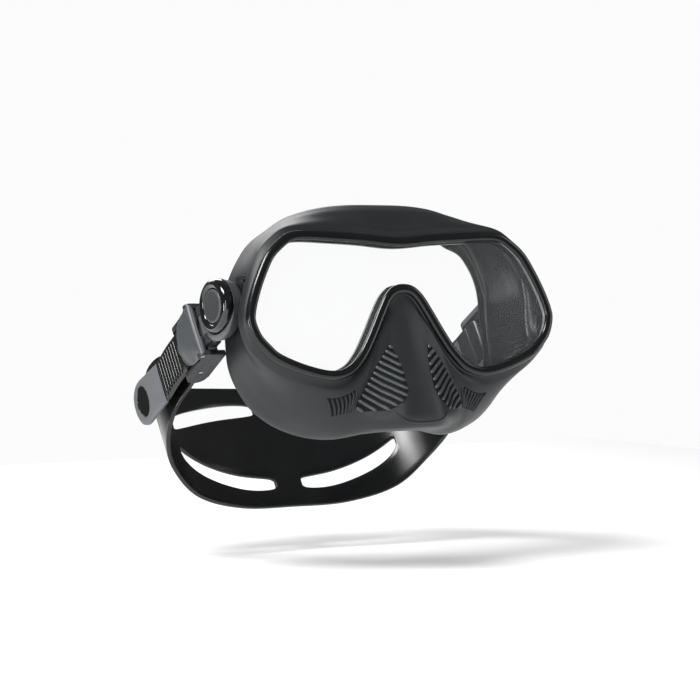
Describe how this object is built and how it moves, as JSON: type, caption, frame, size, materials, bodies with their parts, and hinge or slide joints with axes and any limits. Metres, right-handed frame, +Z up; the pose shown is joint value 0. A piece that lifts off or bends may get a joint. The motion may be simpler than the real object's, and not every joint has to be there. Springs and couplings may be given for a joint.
{
  "type": "diving mask",
  "caption": "Frameless single-lens diving mask with a nose pocket, swivelling quick-release strap buckles and a slotted rear head strap.",
  "frame": {"origin": "centre of the face seal, on the symmetry plane, level with the lens centre and 38 mm behind it", "axes": "+Z up, the lens faces -Y, +X is the right-hand side of a viewer who faces the lens"},
  "size_m": [0.1678, 0.1395, 0.134],
  "materials": {
    "silicone": "matte moulded silicone",
    "strap_silicone": "glossy moulded silicone",
    "lens_glass": "clear tempered glass",
    "steel": "drawn stainless wire and pin",
    "dark_plastic": "fine texture",
    "grey_plastic": "satin moulded",
    "bezel_gloss": "polished",
    "button_grey": "matte"
  },
  "bodies": {
    "mask": {"skirt": "silicone", "lens": "lens_glass", "inner_frame": "steel", "mount_left": "dark_plastic", "mount_right": "dark_plastic", "post_left": "steel", "post_right": "steel"},
    "buckle_left": {"housing_left": "grey_plastic", "bezel_left": "bezel_gloss", "button_spring_left": "steel", "fold_pin_left": "steel", "frame_left": "grey_plastic", "lever_pin_left": "steel", "lever_spring_left": "steel", "axle_left": "steel", "strap_loop_left": "strap_silicone"},
    "button_left": {"button_left": "button_grey"},
    "lever_left": {"lever_left": "grey_plastic"},
    "roller_left": {"roller_left": "dark_plastic"},
    "tail_left": {"tail_left": "strap_silicone"},
    "buckle_right": {"housing_right": "grey_plastic", "bezel_right": "bezel_gloss", "button_spring_right": "steel", "fold_pin_right": "steel", "frame_right": "grey_plastic", "lever_pin_right": "steel", "lever_spring_right": "steel", "axle_right": "steel", "strap_loop_right": "strap_silicone"},
    "button_right": {"button_right": "button_grey"},
    "lever_right": {"lever_right": "grey_plastic"},
    "roller_right": {"roller_right": "dark_plastic"},
    "tail_right": {"tail_right": "strap_silicone"},
    "strap": {"strap": "strap_silicone"}
  },
  "joints": [
    {"name": "swivel_left", "type": "hinge", "parent": "mask", "child": "buckle_left", "pos_m": [-0.069, -0.019, 0.002], "axis": [1, 0, 0], "range_deg": [-8, 50]},
    {"name": "swivel_right", "type": "hinge", "parent": "mask", "child": "buckle_right", "pos_m": [0.069, -0.019, 0.002], "axis": [1, 0, 0], "range_deg": [-8, 50]},
    {"name": "strap_adjust", "type": "slide", "parent": "buckle_left", "child": "strap", "axis": [0, 0.8387, -0.5446], "range_m": [-0.008, 0.012], "deforming": ["strap_loop_left", "strap_loop_right"]},
    {"name": "tail_slide_left", "type": "slide", "parent": "buckle_left", "child": "tail_left", "axis": [0, 0.8387, -0.5446], "range_m": [-0.012, 0.008]},
    {"name": "roller_spin_left", "type": "hinge", "parent": "buckle_left", "child": "roller_left", "pos_m": [-0.0736, 0.00834, -0.01576], "axis": [0, 0.5446, 0.8387], "range_deg": [-175, 260]},
    {"name": "button_press_left", "type": "slide", "parent": "buckle_left", "child": "button_left", "axis": [1, 0, 0], "range_m": [0, 0.001], "stiffness_N_per_m": 700, "springref_m": -0.001, "deforming": ["button_spring_left"]},
    {"name": "lever_lift_left", "type": "hinge", "parent": "buckle_left", "child": "lever_left", "pos_m": [-0.0787, -0.00256, -0.00868], "axis": [0, 0.5446, 0.8387], "range_deg": [0, 14], "stiffness_Nm_per_rad": 0.03, "springref_deg": -17.19, "deforming": ["lever_spring_left"]},
    {"name": "tail_slide_right", "type": "slide", "parent": "buckle_right", "child": "tail_right", "axis": [0, 0.8387, -0.5446], "range_m": [-0.012, 0.008]},
    {"name": "roller_spin_right", "type": "hinge", "parent": "buckle_right", "child": "roller_right", "pos_m": [0.0736, 0.00834, -0.01576], "axis": [0, -0.5446, -0.8387], "range_deg": [-175, 260]},
    {"name": "button_press_right", "type": "slide", "parent": "buckle_right", "child": "button_right", "axis": [-1, 0, 0], "range_m": [0, 0.001], "stiffness_N_per_m": 700, "springref_m": -0.001, "deforming": ["button_spring_right"]},
    {"name": "lever_lift_right", "type": "hinge", "parent": "buckle_right", "child": "lever_right", "pos_m": [0.0787, -0.00256, -0.00868], "axis": [0, -0.5446, -0.8387], "range_deg": [0, 14], "stiffness_Nm_per_rad": 0.03, "springref_deg": -17.19, "deforming": ["lever_spring_right"]}
  ],
  "couplings": [
    {"joint": "swivel_right", "follows": "swivel_left", "ratio": 1},
    {"joint": "tail_slide_left", "follows": "strap_adjust", "ratio": -1},
    {"joint": "roller_spin_left", "follows": "strap_adjust", "rad_per_m": 370.37},
    {"joint": "tail_slide_right", "follows": "strap_adjust", "ratio": -1},
    {"joint": "roller_spin_right", "follows": "strap_adjust", "rad_per_m": 370.37}
  ]
}
